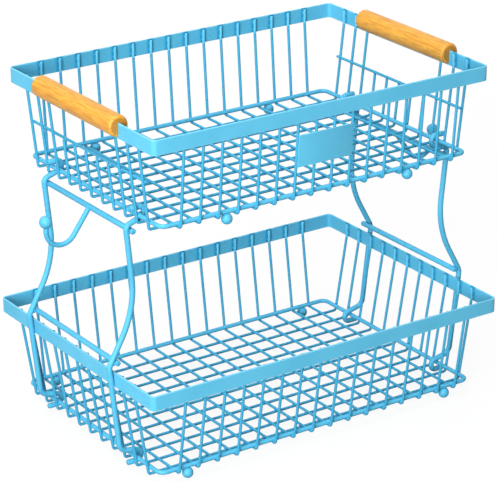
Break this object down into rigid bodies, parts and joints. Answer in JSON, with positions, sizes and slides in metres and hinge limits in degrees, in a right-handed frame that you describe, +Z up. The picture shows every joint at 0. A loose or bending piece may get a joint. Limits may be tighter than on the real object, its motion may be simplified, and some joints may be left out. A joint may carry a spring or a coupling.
{
  "type": "tiered wire basket",
  "caption": "Open wire basket hung above a larger one between bent-wire stands that hook over both base rods, with wooden grips, ball feet and side hooks for fruit.",
  "frame": {"origin": "on the table, under the middle of the basket", "axes": "+X to the right along the long side, +Y to the back away from the plate, +Z up"},
  "size_m": [0.4306, 0.258, 0.323],
  "materials": {
    "blue_coat": "satin sky-blue powder coat on steel wire and strip",
    "handle_wood": "clear-lacquered light wood, grain along the grip"
  },
  "bodies": {
    "root": {"upper_rim_band": "blue_coat", "upper_base_rod": "blue_coat", "upper_cross_wires": "blue_coat", "upper_length_wires": "blue_coat", "upper_hand_hold_wires": "blue_coat", "label_plate": "blue_coat", "lower_rim_band": "blue_coat", "lower_base_rod": "blue_coat", "lower_cross_wires": "blue_coat", "lower_length_wires": "blue_coat", "left_grip_rail": "blue_coat", "left_top_rail": "blue_coat", "left_rim_rail": "blue_coat", "left_fruit_hook": "blue_coat", "left_hook_ball": "blue_coat", "left_front_leg": "blue_coat", "upper_front_left_foot": "blue_coat", "lower_front_left_foot": "blue_coat", "left_back_leg": "blue_coat", "upper_back_left_foot": "blue_coat", "lower_back_left_foot": "blue_coat", "right_grip_rail": "blue_coat", "right_top_rail": "blue_coat", "right_rim_rail": "blue_coat", "right_fruit_hook": "blue_coat", "right_hook_ball": "blue_coat", "right_front_leg": "blue_coat", "upper_front_right_foot": "blue_coat", "lower_front_right_foot": "blue_coat", "right_back_leg": "blue_coat", "upper_back_right_foot": "blue_coat", "lower_back_right_foot": "blue_coat", "left_handle": "handle_wood", "right_handle": "handle_wood"}
  },
  "joints": []
}
